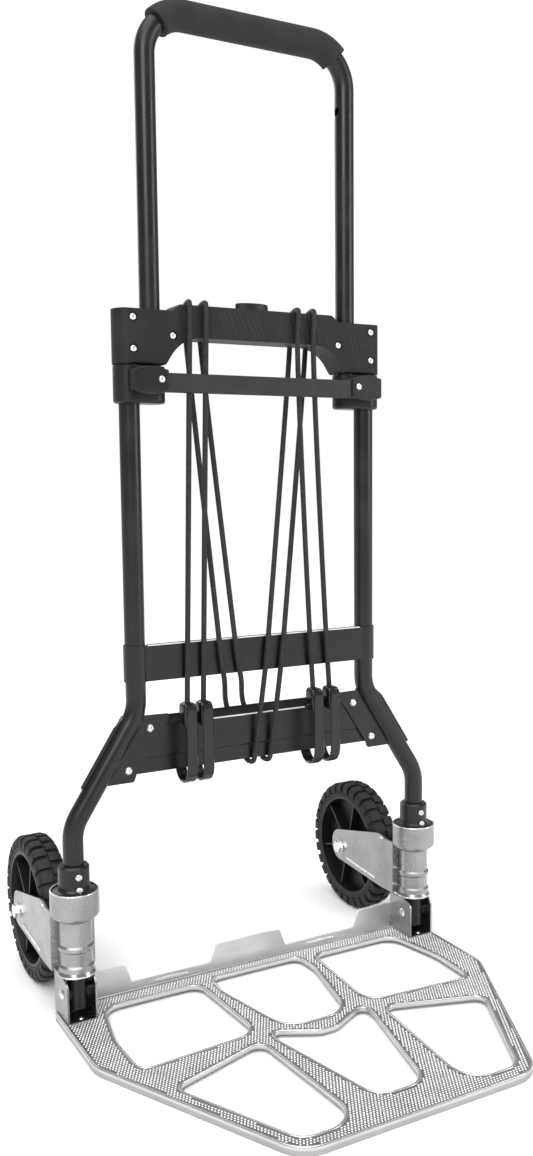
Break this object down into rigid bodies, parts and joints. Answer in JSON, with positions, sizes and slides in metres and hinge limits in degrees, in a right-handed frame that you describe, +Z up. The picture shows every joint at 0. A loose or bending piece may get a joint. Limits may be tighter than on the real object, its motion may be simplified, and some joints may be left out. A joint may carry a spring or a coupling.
{
  "type": "folding hand truck",
  "caption": "Folding hand truck with an aluminium toe plate, swivelling wheels that tuck in, a telescoping handle and elastic cords.",
  "frame": {"origin": "on the floor, below the middle of the truck: midway between its two sides and between the toe plate's front edge and the back of the wheels", "axes": "+Z up, +X across the truck (it mirrors left to right about x = 0), -Y towards the toe plate's front and +Y towards the wheels"},
  "size_m": [0.501, 0.544, 1.071],
  "materials": {
    "powder_coat": "satin black powder coat",
    "housing_plastic": "matte moulded dark grey, slanted ripples on the front",
    "collar_plastic": "smooth satin black",
    "button_plastic": "smooth matte black",
    "bar_plastic": "matte dark grey",
    "grip_foam": "matte closed-cell foam",
    "screw_steel": "bright plated dome heads",
    "spring_steel": "drawn wire",
    "zinc": "satin zinc plate",
    "hub_plastic": "satin black",
    "plate_aluminium": "light satin, raised bumps over the deck, smooth edges",
    "tyre_rubber": "matte black, shoulder blocks",
    "rim_plastic": "matte black, ribbed",
    "cord_braid": "woven sleeve with light flecks",
    "hook_plastic": "gloss black"
  },
  "bodies": {
    "frame": {"button_spring": "spring_steel", "frame_band": "powder_coat", "gusset_rivets": "screw_steel", "housing_front": "housing_plastic", "housing_rear": "housing_plastic", "housing_screws": "screw_steel", "hub_screws": "screw_steel", "inner_cord": "cord_braid", "inner_hook_left": "hook_plastic", "inner_hook_right": "hook_plastic", "left_frame_tube": "powder_coat", "left_gusset": "powder_coat", "left_hub_collar": "hub_plastic", "left_pivot_pin": "screw_steel", "left_swivel_spring": "spring_steel", "lower_panel": "powder_coat", "outer_cord": "cord_braid", "outer_hook_left": "hook_plastic", "outer_hook_right": "hook_plastic", "pivot_bushes": "hub_plastic", "right_frame_tube": "powder_coat", "right_gusset": "powder_coat", "right_hub_collar": "hub_plastic", "right_pivot_pin": "screw_steel", "right_swivel_spring": "spring_steel"},
    "handle": {"handle_tube": "powder_coat", "hand_grip": "grip_foam", "left_collar": "collar_plastic", "right_collar": "collar_plastic", "left_collar_cap": "collar_plastic", "right_collar_cap": "collar_plastic", "slide_bar": "bar_plastic", "cap_screws": "screw_steel"},
    "release_button": {"release_button": "button_plastic"},
    "left_latch": {"left_latch_rod": "spring_steel"},
    "right_latch": {"right_latch_rod": "spring_steel"},
    "toe_plate": {"toe_plate": "plate_aluminium", "left_ear_bracket": "zinc", "right_ear_bracket": "zinc", "bracket_rivets": "screw_steel"},
    "left_fork": {"left_swivel_sleeve": "zinc", "left_fork_bracket": "zinc", "left_axle_bolt": "screw_steel", "left_axle_nut": "screw_steel", "left_axle_spacers": "zinc"},
    "left_wheel": {"left_tyre": "tyre_rubber", "left_wheel_rim": "rim_plastic"},
    "right_fork": {"right_swivel_sleeve": "zinc", "right_fork_bracket": "zinc", "right_axle_bolt": "screw_steel", "right_axle_nut": "screw_steel", "right_axle_spacers": "zinc"},
    "right_wheel": {"right_tyre": "tyre_rubber", "right_wheel_rim": "rim_plastic"}
  },
  "joints": [
    {"name": "handle_slide", "type": "slide", "parent": "frame", "child": "handle", "axis": [0, 0, 1], "range_m": [-0.25, 0]},
    {"name": "button_press", "type": "slide", "parent": "frame", "child": "release_button", "axis": [0, 0, -1], "range_m": [0, 0.005], "stiffness_N_per_m": 400, "springref_m": -0.003, "deforming": ["button_spring"]},
    {"name": "left_latch_draw", "type": "slide", "parent": "frame", "child": "left_latch", "axis": [1, 0, 0], "range_m": [0, 0.005]},
    {"name": "right_latch_draw", "type": "slide", "parent": "frame", "child": "right_latch", "axis": [-1, 0, 0], "range_m": [0, 0.005]},
    {"name": "plate_fold", "type": "hinge", "parent": "frame", "child": "toe_plate", "pos_m": [0, 0.055, 0.036], "axis": [-1, 0, 0], "range_deg": [0, 90]},
    {"name": "left_wheel_swivel", "type": "hinge", "parent": "frame", "child": "left_fork", "pos_m": [-0.22, 0.055, 0.1], "axis": [0, 0, -1], "range_deg": [0, 90]},
    {"name": "right_wheel_swivel", "type": "hinge", "parent": "frame", "child": "right_fork", "pos_m": [0.22, 0.055, 0.1], "axis": [0, 0, 1], "range_deg": [0, 90]},
    {"name": "left_wheel_spin", "type": "hinge", "parent": "left_fork", "child": "left_wheel", "pos_m": [-0.22, 0.188, 0.084], "axis": [1, 0, 0], "continuous": true},
    {"name": "right_wheel_spin", "type": "hinge", "parent": "right_fork", "child": "right_wheel", "pos_m": [0.22, 0.188, 0.084], "axis": [1, 0, 0], "continuous": true}
  ],
  "couplings": [
    {"joint": "left_latch_draw", "follows": "button_press", "ratio": 1},
    {"joint": "right_latch_draw", "follows": "button_press", "ratio": 1},
    {"joint": "left_wheel_swivel", "follows": "plate_fold", "ratio": 1},
    {"joint": "right_wheel_swivel", "follows": "plate_fold", "ratio": 1}
  ]
}
